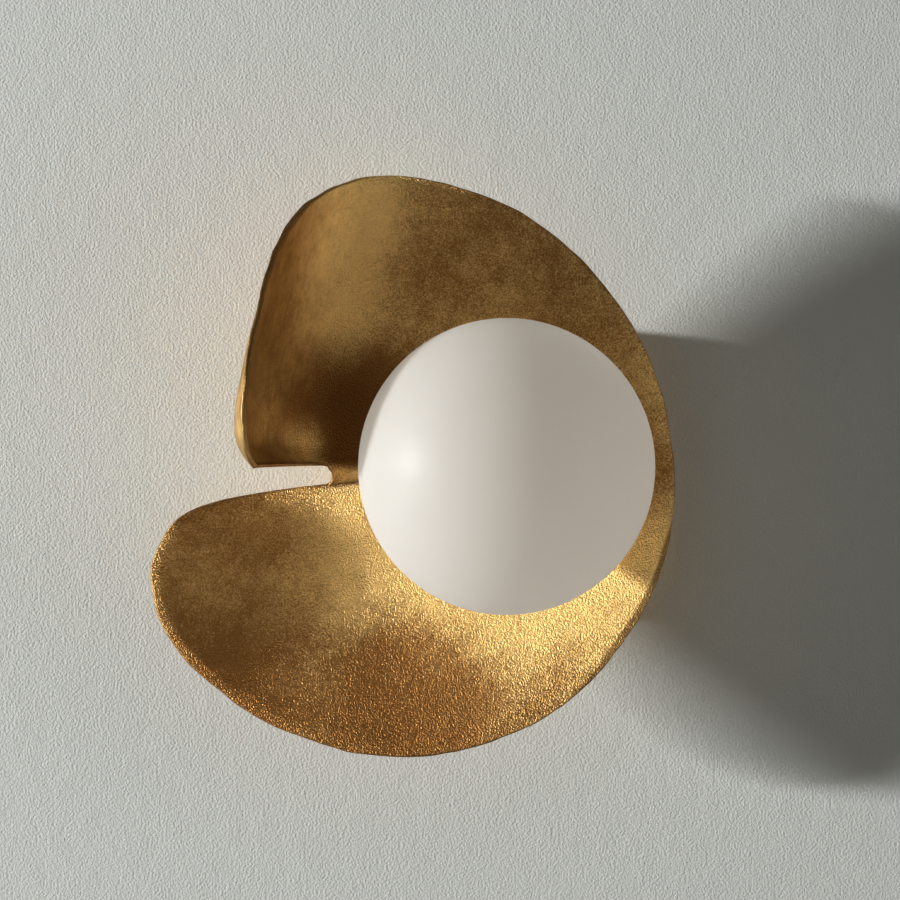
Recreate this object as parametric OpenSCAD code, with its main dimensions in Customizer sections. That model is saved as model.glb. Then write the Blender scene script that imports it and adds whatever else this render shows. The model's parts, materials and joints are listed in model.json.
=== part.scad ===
// Wall sconce: an opal glass globe in front of a cast brass leaf, on a round canopy.
// Every part is drawn as it is seen from the front: x to the right, y up, z out of the wall.
// out_of_wall() then stands the drawing up, so that z becomes the distance from the wall, along -Y.

/* [Canopy] */
// Outer diameter of the round canopy
canopy_d = 127; // [120:1:140]
// Distance from the wall to the canopy's front face
canopy_depth = 18; // [17:0.5:24]
// Wall of the spun canopy
canopy_wall = 1.2; // [0.8:0.1:1.6]
// Radius of the canopy's front edge
canopy_edge_r = 6; // [4:0.5:8]

/* [Leaf shell] */
// Height of the leaf, from top to bottom
leaf_h = 258; // [250:1:270]
// Thickness of the cast leaf
leaf_t = 2.2; // [1.6:0.1:3]
// Width of the leaf's flat seat outside the flange that clamps it
seat_lip = 2.9; // [1:0.1:8]
// Width of the band round the seat in which the leaf starts to rise
seat_band = 44; // [34:1:46]
// Distance of the leaf's upright valley from the lamp axis, to the left
valley_x = 50; // [50:0.5:53]
// Rise of the valley at the top of the leaf, over the seat
top_rise = 28; // [20:1:34]
// Rise of the valley at the bottom of the leaf, over the seat
bottom_rise = 24; // [16:1:30]
// Rise of the leaf at its right-hand edge, over the seat
right_rise = 11; // [6:0.5:16]
// Distance from the lamp axis to the inner end of the slit
slit_root_x = 77.5; // [74:0.5:84]
// Depth of the round at the inner end of the slit
slit_round = 3.2; // [2:0.2:4.5]

/* [Globe] */
// Outer diameter of the opal glass globe
globe_d = 127; // [110:1:130]
// Wall of the blown glass
globe_wall = 3; // [2:0.2:4]
// Wall of the globe's neck
neck_wall = 3.1; // [2.4:0.1:4]
// Length of the neck, from its mouth to the ball
neck_len = 12; // [10:0.5:16]
// Thickness of the rubber gasket under the mouth of the neck
gasket_t = 1.2; // [0.8:0.1:2]

/* [Glass holder] */
// Outer diameter of the threaded collar that the neck screws on
collar_d = 38.4; // [37:0.2:39]
// Height of the collar above its flange
collar_h = 12; // [9:0.5:13]
// Wall of the collar
collar_wall = 1.5; // [1.2:0.1:2]
// Width of the flange outside the globe's neck
flange_lip = 4; // [2:0.5:6]
// Thickness of the flange
flange_t = 1.8; // [1.4:0.1:2.4]
// Radial play between the collar and the neck, where the coarse thread runs
thread_play = 0.7; // [0.5:0.1:1]

/* [Lampholder] */
// Diameter of the ceramic lampholder
holder_d = 25; // [24:0.5:27]
// Height of the lampholder's base disc
holder_base_h = 7; // [6:0.5:9]
// Height of the boss that takes the bulb's pins
holder_boss_h = 10; // [8:0.5:12]
// Distance between the two pins of the bulb
pin_pitch = 9; // [9:0.1:9.4]
// Length of the bulb's pins
pin_len = 5.5; // [4.5:0.1:6.5]
// Height of the arms that carry the lampholder
bracket_h = 12; // [11:0.5:14]

/* [Bulb] */
// Diameter of the bulb's ceramic foot
bulb_foot_d = 16; // [14:0.5:18]
// Height of the bulb's foot
bulb_foot_h = 11; // [9:0.5:14]
// Diameter of the bulb's glass capsule
capsule_d = 15; // [13:0.5:15]
// Length of the capsule, with its round end
capsule_len = 35; // [28:1:40]

/* [Mounting] */
// Thickness of the steel mounting strap
strap_t = 1.6; // [1.4:0.1:2]
// Distance between the two outer box slots
slot_pitch_outer = 88.9; // [88.4:0.1:89.4]
// Distance between the two inner box slots
slot_pitch_inner = 69.85; // [69.35:0.1:70.35]
// Length of each box slot
slot_len = 7.4; // [6:0.1:8]
// Width of each box slot
slot_w = 4.8; // [4.6:0.1:5.2]
// Diameter of the screws that hold the canopy on the strap, one above and one below
side_screw_d = 4; // [3:0.5:5]
// Height of these screws over the wall
side_screw_z = 8.5; // [7.5:0.5:10]
// Outer diameter of the hollow threaded nipple
nipple_d = 10; // [9:0.5:11]
// Bore of the nipple, which the leads run through
nipple_bore = 7.2; // [6.6:0.1:7.4]
// Diameter of the insulated leads
lead_d = 2.2; // [1.8:0.1:2.4]

/* [Hidden] */

$fn = 64;

// Play between two pieces: in a thread, round a bolt or nipple, and between pieces that move
thread_clear = 0.05;
hole_clear = 0.4;
move_clear = 0.3;

// Distances from the wall, from the back of the sconce to its front
bracket_t = 1.2;
nipple_nut_h = 3;
lock_washer_t = 0.8;
nipple_end = 1.2;
canopy_inside = canopy_depth - canopy_wall;
washer_back = canopy_inside - lock_washer_t;
rear_nut_back = washer_back - nipple_nut_h;
nipple_back = rear_nut_back - nipple_end;
leaf_back = canopy_depth;
leaf_front = leaf_back + leaf_t;
flange_front = leaf_front + flange_t;
bracket_front = flange_front + bracket_t;
nipple_front = bracket_front + nipple_nut_h + nipple_end;
mouth_z = flange_front + gasket_t;
holder_back = flange_front + bracket_h;
holder_step = holder_back + holder_base_h;
holder_front = holder_step + holder_boss_h;
foot_back = holder_front + move_clear;
foot_front = foot_back + bulb_foot_h;

// Nipple, nuts and bushing
nipple_nut_af = 14;
lock_washer_d = 15;
nipple_hole_r = nipple_d / 2 + hole_clear;
bushing_wall = 0.6;
bushing_len = 6;
bushing_flange_t = 1;

// The strap is a cross with a tab bent forward at each end of its upright arm
strap_arm_w = 22;
strap_past_slot = 3.85;
strap_arm_len = slot_pitch_outer + slot_len + 2 * strap_past_slot;
tab_w = 16;
tab_h = 13;
tab_play = 0.5;
tab_face = sqrt(pow(canopy_d / 2 - canopy_wall - tab_play, 2) - pow(tab_w / 2, 2));
upright_w = 24;
cable_hole_r = 8;
cable_hole_y = 21;
side_head_d = 7.6;
side_head_h = 3;
side_screw_past = 2;

// Ground screw on the level arm, with the lead's ring terminal under its head
ground_x = 19;
ground_screw_d = 4;
ground_head_d = 7.5;
ground_head_h = 2.4;
ring_d = 8;
ring_t = 0.8;
barrel_d = 3.6;
barrel_start = 5;
barrel_end = 10.5;
barrel_z = strap_t + barrel_d / 2;
crimp_play = 0.2;

// Lampholder, its bracket and its contacts
bracket_w = 12;
bracket_arm_x = 10.4;
bracket_tab = 5;
holder_screw_d = 3;
holder_screw_x = 8.8;
holder_head_d = 5;
holder_head_h = 2;
holder_screw_past = 1.3;
boss_w = 12;
boss_d = 21;
lip_t = 1.5;
pin_w = 3.4;
pin_t = 0.8;
contact_w = 5;
contact_t = 3;
contact_len = 9;
contact_play = 0.2;
contact_front = holder_front - lip_t - contact_play;
contact_back = contact_front - contact_len;

// The bulb
capsule_wall = 0.8;
light_bar_w = 8;
light_bar_t = 1.2;
light_bar_len = 26;

// The globe
globe_r = globe_d / 2;
neck_bore_r = collar_d / 2 + thread_play;
neck_r = neck_bore_r + neck_wall;
neck_fillet = 4;
gasket_lip = 1;
flange_r = neck_r + flange_lip;
seat_r = flange_r + seat_lip;
globe_z = mouth_z + neck_len + sqrt(globe_r * globe_r - neck_r * neck_r);

// Wire connectors, each on a diagonal of the canopy
connector_len = 17;
connector_start = 24;
connector_mouth_d = 10.6;
connector_end_d = 7.6;
connector_depth = 10.5;
connector_z = 8.5;

// Stations round the rim of the leaf, clockwise from the slit's upper lip. Each is
// [x, y, rise of the roll over the valley, angle that the roll has turned through at the rim],
// for a leaf that is drawn_h high. The roll is the part of the leaf to the left of the valley;
// to its right, the last two numbers have no effect.
drawn_h = 258;
STATIONS = [
    [-107, -1, 97, 101], [-109.5, 3.6, 103, 106], [-111.3, 11.7, 108, 111],
    [-112, 25, 109, 110], [-110.3, 42, 103, 107], [-107, 64, 86, 103],
    [-101, 91, 61, 92], [-89, 113, 33, 76], [-69, 126, 9, 48], [-46, 129, 0, 30],
    [-18, 123, 0, 30], [10, 111, 0, 30], [35, 91, 0, 30], [57, 63, 0, 30],
    [71, 31, 0, 30], [76, -5, 0, 30], [72, -42, 0, 30], [56, -74, 0, 30],
    [30, -104, 0, 30], [-4, -122, 0, 30], [-40, -129, 0, 30], [-80, -124, 2, 40],
    [-118, -106, 8.5, 40], [-146, -80, 16, 40], [-157, -51, 20, 40], [-150.5, -29, 18, 40],
    [-140.5, -20, 15, 40], [-127, -15.2, 11, 40]
];
steps_per_station = 4;
rim_rows = 14;
root_row = 5;
web_columns = 6;

// At the seat, the rays leave an angle free for the web behind the slit. Part of their spread
// is even, so that they don't bunch. The last of them bow up to the slit's lower lip.
slit_azimuth = 183.7;
web_angle = 10;
even_share = 0.3;
lip_bow = 1.6;
lip_columns = 12;

// Routes of the leads, from the lampholder back through the nipple to the connectors
lead_side = lead_d / 2 + 0.1;
lead_end = (connector_start + connector_depth - 1) / sqrt(2);
lead_in = connector_start / sqrt(2);
function lamp_route(side) = [
    [0, side * pin_pitch / 2, contact_back], [0, side * pin_pitch / 2, holder_back + 2],
    [0, side * (lead_side + 1.5), (holder_back + nipple_front) / 2],
    [0, side * lead_side, nipple_front - 1], [0, side * lead_side, nipple_back + 1],
    [-1.5 * side, side * lead_side - 2.5, connector_z + 0.8],
    [-8 * side, -8.5, connector_z], [-lead_in * side, -lead_in, connector_z],
    [-lead_end * side, -lead_end, connector_z]
];
GROUND_ROUTE = [
    [ground_x, barrel_start + 1, barrel_z], [ground_x, barrel_end, barrel_z],
    [ground_x - 0.5, barrel_end + 1.6, barrel_z + 1], [ground_x - 2, barrel_end + 3, connector_z - 2],
    [lead_in, lead_in, connector_z],
    [lead_end, lead_end, connector_z]
];
lead_sides = 8;
lead_steps = 3;

function smooth(t) = let (c = min(1, max(0, t))) c * c * (3 - 2 * c);
function lerp(a, b, t) = a + (b - a) * t;
function unit(v) = v / norm(v);

// A smooth curve through a list of points, at place u from 0 to the last index
function through(list, u) =
    let (
        n = len(list) - 1,
        i = min(n - 1, floor(u)),
        t = u - i,
        p1 = list[i],
        p2 = list[i + 1],
        p0 = i > 0 ? list[i - 1] : 2 * p1 - p2,
        p3 = i < n - 1 ? list[i + 2] : 2 * p2 - p1
    )
    0.5 * (2 * p1 + (p2 - p0) * t + (2 * p0 - 5 * p1 + 4 * p2 - p3) * t * t
        + (3 * p1 - p0 - 3 * p2 + p3) * t * t * t);

// How far the leaf's front face has risen over the seat, where it isn't on the roll. The edge on
// the right is right_reach of the leaf's height from the lamp axis. The rolled part of a ray is
// arc_ratio times as long as the straight line between its two ends.
right_reach = 0.29;
arc_ratio = 1.08;
function valley_rise(y) =
    y > 0 ? top_rise * pow(2 * y / leaf_h, 1.5) : bottom_rise * pow(-2 * y / leaf_h, 2);
function right_hand_rise(x) =
    right_rise * pow(max(0, x + valley_x) / (right_reach * leaf_h + valley_x), 1.5);
function dish(x, y) =
    smooth((norm([x, y]) - seat_r) / seat_band) * (valley_rise(y) + right_hand_rise(x));

// A ray of the leaf, straight on the flat sheet, from its seat to a rim station:
// [seat point, station, share of the ray before the valley, half-axes of the roll across and
// out, bow]
function azimuth(p) = let (a = atan2(p[1], p[0])) a < -179 ? a + 360 : a;
function seat_angle(a, share) =
    let (
        first = azimuth(STATIONS[0]),
        last = azimuth(STATIONS[len(STATIONS) - 1]),
        turned = lerp((first - a) / (first - last), share, even_share)
    )
    slit_azimuth - web_angle / 2 - (360 - web_angle) * turned;
function ray(drawn, c) =
    let (
        k = leaf_h / drawn_h,
        station = [k * drawn[0], k * drawn[1], k * drawn[2], drawn[3]],
        a = seat_angle(azimuth(station), c / columns),
        seat = seat_r * [cos(a), sin(a)],
        over = max(0, -valley_x - station[0]),
        level_len = seat[0] + valley_x,
        roll_len = arc_ratio * norm([over, station[2]])
    )
    [
        seat, station, over > 0 ? level_len / (level_len + roll_len) : 1,
        over / sin(station[3]), station[2] / (1 - cos(station[3])),
        lip_bow * smooth(1 - (columns - c) / lip_columns)
    ];

// The point of the leaf's front face at share t of a ray
function leaf_point(r, t) =
    let (
        split = r[2],
        turn = split < 1 ? r[1][3] * max(0, (t - split) / (1 - split)) : 0,
        level_x = split < 1 ? lerp(r[0][0], -valley_x, min(1, t / split))
            : lerp(r[0][0], r[1][0], t),
        x = level_x - r[3] * sin(turn),
        y = lerp(r[0][1], r[1][1], t) + 4 * r[5] * t * (1 - t)
    )
    [x, y, leaf_front + dish(level_x, y) + r[4] * (1 - cos(turn))];

// The share of a ray at which it passes the slit's root
function root_share(r) =
    r[2] + (1 - r[2]) * asin((slit_root_x + slit_round - valley_x) / r[3]) / r[1][3];
function row_share(root, i) =
    i <= root_row ? root * i / root_row
        : root + (1 - root) * (i - root_row) / (rim_rows - root_row);

// The grid of the front face: one column for each ray, and the web between the slit and the seat
columns = (len(STATIONS) - 1) * steps_per_station;
RAYS = [for (c = [0:columns]) ray(through(STATIONS, c / steps_per_station), c)];
ROOTS = [
    for (c = [0:columns])
        let (
            near_start = max(0, 1 - c / 8),
            near_end = max(0, 1 - (columns - c) / 8),
            span = norm([RAYS[c][1][0], RAYS[c][1][1]] - RAYS[c][0]) + RAYS[c][1][2] / 2,
            free = min(0.45, max(0.2, (slit_root_x - seat_r) / span))
        )
        free + near_start * (root_share(RAYS[0]) - free)
            + near_end * (root_share(RAYS[columns]) - free)
];
MAIN = [
    for (c = [0:columns])
        [for (i = [0:rim_rows]) leaf_point(RAYS[c], row_share(ROOTS[c], i))]
];
WEB = [
    for (k = [1:web_columns])
        let (
            turn = 180 * k / (web_columns + 1),
            u = (1 - cos(turn)) / 2,
            back_off = 1 - slit_round / (slit_root_x + slit_round - seat_r) * sin(turn)
        )
        [
            for (i = [0:root_row])
                lerp(
                    leaf_point(RAYS[columns], row_share(ROOTS[columns], i) * back_off),
                    leaf_point(RAYS[0], row_share(ROOTS[0], i) * back_off),
                    u
                )
        ]
];
RING = concat(MAIN, WEB);
ring_len = len(RING);

// The square-on direction at a grid point, and the grid of the back face
function neighbour(c, i, step) =
    let (
        wrapped = (c + step + ring_len) % ring_len,
        crosses_slit = i > root_row && (c + step < 0 || c + step > columns)
    )
    crosses_slit || len(RING[wrapped]) <= i ? RING[c][i] : RING[wrapped][i];
function square_on(c, i) =
    i == 0 ? [0, 0, 1]
        : let (
            along = neighbour(c, i, 1) - neighbour(c, i, -1),
            out = RING[c][min(i + 1, len(RING[c]) - 1)] - RING[c][i - 1]
        )
        unit(cross(out, along));
BACK = [
    for (c = [0:ring_len - 1])
        [for (i = [0:len(RING[c]) - 1]) RING[c][i] - leaf_t * square_on(c, i)]
];

// Corners of the solid, column by column, the front face first
STARTS = [
    for (c = [0:ring_len - 1])
        c <= columns ? c * (rim_rows + 1)
            : (columns + 1) * (rim_rows + 1) + (c - columns - 1) * (root_row + 1)
];
half_count = STARTS[ring_len - 1] + root_row + 1;
function f(c, i) = STARTS[c % ring_len] + i;
function b(c, i) = half_count + f(c, i);
function bore(c, back = 0) = 2 * half_count + back * ring_len + c % ring_len;
function quad(p, q, r, s) = [[p, q, r], [p, r, s]];
LEAF_FACES = concat(
    [
        for (c = [0:ring_len - 1], i = [0:(c < columns ? rim_rows : root_row) - 1], side = [0, 1])
            each side == 0 ? quad(f(c + 1, i), f(c + 1, i + 1), f(c, i + 1), f(c, i))
                : quad(b(c, i + 1), b(c + 1, i + 1), b(c + 1, i), b(c, i))
    ],
    [
        for (c = [0:ring_len - 1])
            let (i = c < columns ? rim_rows : root_row)
            each quad(b(c + 1, i), b(c, i), f(c, i), f(c + 1, i))
    ],
    [for (i = [root_row:rim_rows - 1]) each quad(b(0, i + 1), b(0, i), f(0, i), f(0, i + 1))],
    [
        for (i = [root_row:rim_rows - 1])
            each quad(b(columns, i), b(columns, i + 1), f(columns, i + 1), f(columns, i))
    ],
    [
        for (c = [0:ring_len - 1])
            each concat(
                quad(bore(c + 1), f(c + 1, 0), f(c, 0), bore(c)),
                quad(b(c, 0), b(c + 1, 0), bore(c + 1, 1), bore(c, 1)),
                quad(bore(c, 1), bore(c + 1, 1), bore(c + 1), bore(c))
            )
    ]
);

BORE_RING = [
    for (z = [leaf_front, leaf_back], c = [0:ring_len - 1])
        let (p = nipple_hole_r * unit([RING[c][0][0], RING[c][0][1]])) [p[0], p[1], z]
];

// Turns a piece drawn as it is seen from the front, so that z is its distance from the wall
module out_of_wall() {
    rotate([90, 0, 0]) children();
}

// A cylinder from one height to another
module post(r, from, to) {
    translate([0, 0, from]) cylinder(r = r, h = to - from);
}

// The space of a hole, which runs a little past both faces
module hole(r, from, to) {
    post(r, from - 1, to + 1);
}

module tube(r, bore_r, from, to) {
    difference() {
        post(r, from, to);
        hole(bore_r, from, to);
    }
}

module hex_nut(af, bore_r, from, to) {
    difference() {
        translate([0, 0, from]) cylinder(r = af / sqrt(3), h = to - from, $fn = 6);
        hole(bore_r, from, to);
    }
}

// A box centred on x and y, from one height to another
module block(x, y, from, to) {
    translate([-x / 2, -y / 2, from]) cube([x, y, to - from]);
}

// Something at the top and bottom of the strap, drawn along z and pointing away from the axis
module at_tabs() {
    for (side = [-1, 1]) translate([0, 0, side_screw_z]) rotate([-90 * side, 0, 0]) children();
}

// A slot through the strap, long along x
module box_slot(x) {
    run = slot_len - slot_w;
    translate([x, 0, 0]) {
        block(run, slot_w, -1, strap_t + 1);
        for (end = [-1, 1]) translate([end * run / 2, 0, 0]) hole(slot_w / 2, 0, strap_t);
    }
}

module wall_strap() {
    color("#b9bbbd") out_of_wall() difference() {
        union() {
            block(strap_arm_len, strap_arm_w, 0, strap_t);
            block(upright_w, 2 * (tab_face - strap_t), 0, strap_t);
            for (side = [-1, 1])
                translate([0, side * (tab_face - strap_t / 2), 0]) block(tab_w, strap_t, 0, tab_h);
        }
        for (side = [-1, 1], pitch = [slot_pitch_outer, slot_pitch_inner])
            box_slot(side * pitch / 2);
        translate([0, cable_hole_y, 0]) hole(cable_hole_r, 0, strap_t);
        translate([ground_x, 0, 0]) hole(ground_screw_d / 2 + thread_clear, 0, strap_t);
        at_tabs() hole(side_screw_d / 2 + thread_clear, tab_face - strap_t, tab_face);
    }
}

module canopy_screws() {
    color("#a5803c") out_of_wall() at_tabs() {
        post(side_screw_d / 2, tab_face - strap_t - side_screw_past, canopy_d / 2 + 1);
        post(side_head_d / 2, canopy_d / 2, canopy_d / 2 + side_head_h);
    }
}

// A round pan with a rounded front edge, solid
module pan(r, edge, from, to) {
    translate([0, 0, from]) rotate_extrude() {
        square([r - edge, to - from]);
        square([r, to - from - edge]);
        translate([r - edge, to - from - edge]) intersection() {
            circle(r = edge);
            square(edge);
        }
    }
}

module canopy() {
    color("#a5803c") out_of_wall() difference() {
        pan(canopy_d / 2, canopy_edge_r, 0, canopy_depth);
        pan(canopy_d / 2 - canopy_wall, canopy_edge_r - canopy_wall, -1, canopy_inside);
        hole(nipple_hole_r, canopy_inside, canopy_depth);
        at_tabs() hole(side_screw_d / 2 + hole_clear, tab_face + 1, canopy_d / 2);
    }
}

module leaf_shell() {
    color("#b08a3e") out_of_wall()
        polyhedron(
            concat([for (c = RING) each c], [for (c = BACK) each c], BORE_RING), LEAF_FACES
        );
}

module lamp_nipple() {
    color("#c9a44c") out_of_wall() tube(nipple_d / 2, nipple_bore / 2, nipple_back, nipple_front);
}

module nipple_lock_washer() {
    color("#b9bbbd") out_of_wall()
        tube(lock_washer_d / 2, nipple_hole_r, washer_back, canopy_inside);
}

module nipple_rear_nut() {
    color("#c9a44c") out_of_wall()
        hex_nut(nipple_nut_af, nipple_d / 2 + thread_clear, rear_nut_back, washer_back);
}

module nipple_bushing() {
    outer = nipple_bore / 2 - thread_clear;
    color("#e8e4d8") out_of_wall() difference() {
        union() {
            post(outer, nipple_back - bushing_flange_t, nipple_back + bushing_len);
            post(nipple_d / 2, nipple_back - bushing_flange_t, nipple_back);
        }
        hole(outer - bushing_wall, nipple_back - bushing_flange_t, nipple_back + bushing_len);
    }
}

// The turned flange under the globe, with the threaded collar that its neck screws on
module glass_holder() {
    color("#a5803c") out_of_wall() difference() {
        union() {
            post(flange_r, leaf_front, flange_front);
            post(collar_d / 2, leaf_front, flange_front + collar_h);
        }
        post(collar_d / 2 - collar_wall, flange_front, flange_front + collar_h + 1);
        hole(nipple_hole_r, leaf_front, flange_front);
    }
}

// The bent bracket between the nipple and the lampholder
module lamp_bracket() {
    color("#b9bbbd") out_of_wall() difference() {
        union() {
            block(2 * (bracket_arm_x + bracket_t), bracket_w, flange_front, bracket_front);
            for (side = [-1, 1]) {
                translate([side * (bracket_arm_x + bracket_t / 2), 0, 0])
                    block(bracket_t, bracket_w, flange_front, holder_back);
                translate([side * (bracket_arm_x + bracket_t - bracket_tab / 2), 0, 0])
                    block(bracket_tab, bracket_w, holder_back - bracket_t, holder_back);
            }
        }
        hole(nipple_hole_r, flange_front, bracket_front);
        at_holder_screws() hole(holder_screw_d / 2 + thread_clear, holder_back - bracket_t, holder_back);
    }
}

module nipple_front_nut() {
    color("#c9a44c") out_of_wall()
        hex_nut(
            nipple_nut_af, nipple_d / 2 + thread_clear, bracket_front, bracket_front + nipple_nut_h
        );
}

module at_holder_screws() {
    for (side = [-1, 1]) translate([side * holder_screw_x, 0, 0]) children();
}

module at_pins() {
    for (side = [-1, 1]) translate([0, side * pin_pitch / 2, 0]) children();
}

// The ceramic lampholder: a disc that is screwed down, and a boss with a pocket for each contact
module lampholder() {
    color("#efece2") out_of_wall() difference() {
        union() {
            post(holder_d / 2, holder_back, holder_step);
            intersection() {
                post(boss_d / 2, holder_back, holder_front);
                block(boss_w, boss_d, holder_back, holder_front);
            }
        }
        at_holder_screws() hole(holder_screw_d / 2 + hole_clear / 2, holder_back, holder_step);
        at_pins() {
            block(
                contact_w + 2 * contact_play, contact_t + 2 * contact_play, holder_back - 1,
                holder_front - lip_t
            );
            block(pin_w + hole_clear, pin_t + hole_clear, holder_back, holder_front + 1);
        }
    }
}

module lampholder_contacts() {
    color("#d0a850") out_of_wall() at_pins() difference() {
        block(contact_w, contact_t, contact_back, contact_front);
        block(pin_w + hole_clear, pin_t + hole_clear, contact_back + 1, contact_front + 1);
    }
}

module lampholder_screws() {
    color("#c4c6c8") out_of_wall() at_holder_screws() {
        post(holder_screw_d / 2, holder_back - bracket_t - holder_screw_past, holder_step);
        post(holder_head_d / 2, holder_step, holder_step + holder_head_h);
    }
}

// A round lead along a route; the flat direction is square to every stretch of the route
module lead(route, flat) {
    rings = (len(route) - 1) * lead_steps;
    middle = [for (i = [0:rings]) through(route, i / lead_steps)];
    points = [
        for (i = [0:rings])
            let (
                along = unit(middle[min(i + 1, rings)] - middle[max(i - 1, 0)]),
                side = unit(cross(flat, along)),
                up = cross(along, side)
            )
            for (k = [0:lead_sides - 1])
                let (a = 360 * k / lead_sides) middle[i] + lead_d / 2 * (side * cos(a) + up * sin(a))
    ];
    faces = concat(
        [[for (k = [0:lead_sides - 1]) k]],
        [
            for (i = [0:rings - 1], k = [0:lead_sides - 1])
                let (
                    near = i * lead_sides,
                    far = near + lead_sides,
                    next = (k + 1) % lead_sides
                )
                each quad(near + k, far + k, far + next, near + next)
        ],
        [[for (k = [lead_sides - 1:-1:0]) rings * lead_sides + k]]
    );
    polyhedron(points, faces);
}

module live_lead() {
    color("#7a3b22") out_of_wall() lead(lamp_route(1), [1, -1, 0]);
}

module neutral_lead() {
    color("#e9e9e4") out_of_wall() lead(lamp_route(-1), [1, 1, 0]);
}

module ground_lead() {
    color("#4f9a3a") out_of_wall() lead(GROUND_ROUTE, [1, -1, 0.2]);
}

module ground_terminal() {
    color("#d9dadb") out_of_wall() difference() {
        union() {
            translate([ground_x, 0, 0]) post(ring_d / 2, strap_t, strap_t + ring_t);
            translate([ground_x, barrel_end / 2, 0])
                block(barrel_d, barrel_end, strap_t, strap_t + ring_t);
            translate([ground_x, barrel_start, barrel_z]) rotate([-90, 0, 0])
                post(barrel_d / 2, 0, barrel_end - barrel_start);
        }
        translate([ground_x, 0, 0]) hole(ground_screw_d / 2 + thread_clear, strap_t, strap_t + ring_t);
        translate([ground_x, barrel_start, barrel_z]) rotate([-90, 0, 0])
            hole(lead_d / 2 + crimp_play, 0, barrel_end - barrel_start);
    }
}

module ground_screw() {
    color("#3f8f4a") out_of_wall() translate([ground_x, 0, 0]) {
        post(ground_screw_d / 2, thread_clear, strap_t + ring_t);
        post(ground_head_d / 2, strap_t + ring_t, strap_t + ring_t + ground_head_h);
    }
}

// Three twist-on connectors, each with its mouth toward the middle of the canopy
module wire_connectors() {
    color("#c8792e") out_of_wall() for (turn = [45, 225, 315])
        translate([0, 0, connector_z]) rotate([0, 0, turn]) rotate([0, 90, 0])
            translate([0, 0, connector_start]) rotate_extrude() polygon([
                [0, connector_depth], [lead_d / 2 + 0.2, connector_depth],
                [connector_mouth_d / 2 - 1, 0], [connector_mouth_d / 2, 0],
                [connector_end_d / 2, connector_len], [0, connector_len]
            ]);
}

module globe_gasket() {
    color("#d8d6d0") out_of_wall()
        tube(neck_r + gasket_lip, collar_d / 2 + move_clear, flange_front, mouth_z);
}

// The blown globe: a ball, a neck and the round between them, with one hollow
module glass_globe() {
    fillet_z = globe_z - sqrt(pow(globe_r + neck_fillet, 2) - pow(neck_r + neck_fillet, 2));
    fillet_at = [neck_r + neck_fillet, fillet_z];
    meet = fillet_at + neck_fillet * unit([0, globe_z] - fillet_at);
    color("#f3f0ea") out_of_wall() difference() {
        union() {
            translate([0, 0, globe_z]) sphere(r = globe_r, $fn = 96);
            rotate_extrude($fn = 96) {
                translate([0, mouth_z]) square([neck_r, globe_z - mouth_z]);
                difference() {
                    polygon([[neck_r - 1, fillet_z], fillet_at, meet, [neck_r - 1, meet[1]]]);
                    translate(fillet_at) circle(r = neck_fillet);
                }
            }
        }
        translate([0, 0, globe_z]) sphere(r = globe_r - globe_wall, $fn = 96);
        post(neck_bore_r, mouth_z - 1, globe_z);
    }
}

module bulb_foot() {
    color("#f4f2ec") out_of_wall() post(bulb_foot_d / 2, foot_back, foot_front);
}

module bulb_pins() {
    color("#c4c6c8") out_of_wall() at_pins() block(pin_w, pin_t, foot_back - pin_len, foot_back);
}

// A capsule standing on the foot: a straight wall and a round end
module capsule(r, height) {
    post(r, foot_front, foot_front + height - r);
    translate([0, 0, foot_front + height - r]) sphere(r = r);
}

module bulb_capsule() {
    color("#fbfaf6") out_of_wall() intersection() {
        difference() {
            capsule(capsule_d / 2, capsule_len);
            capsule(capsule_d / 2 - capsule_wall, capsule_len - capsule_wall);
        }
        post(capsule_d, foot_front, foot_front + capsule_len);
    }
}

module bulb_light_bar() {
    color("#f2d66a") out_of_wall()
        block(light_bar_w, light_bar_t, foot_front, foot_front + light_bar_len);
}

wall_strap();
canopy_screws();
canopy();
leaf_shell();
lamp_nipple();
nipple_lock_washer();
nipple_rear_nut();
nipple_bushing();
glass_holder();
lamp_bracket();
nipple_front_nut();
lampholder();
lampholder_contacts();
lampholder_screws();
live_lead();
neutral_lead();
ground_lead();
ground_terminal();
ground_screw();
wire_connectors();
globe_gasket();
glass_globe();
bulb_foot();
bulb_pins();
bulb_capsule();
bulb_light_bar();
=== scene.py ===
# %% [markdown]
# # A wall sconce: opal globe in a folded brass leaf
# The real lamp is a cast brass leaf on a round canopy, with a white glass globe held by a small
# threaded collar in the leaf's seat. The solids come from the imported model. This lesson adds what
# a photograph shows on top of them: soft edges, cast grain, patina, brushed metal, threads and light.

# %%
import json
import math

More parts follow.
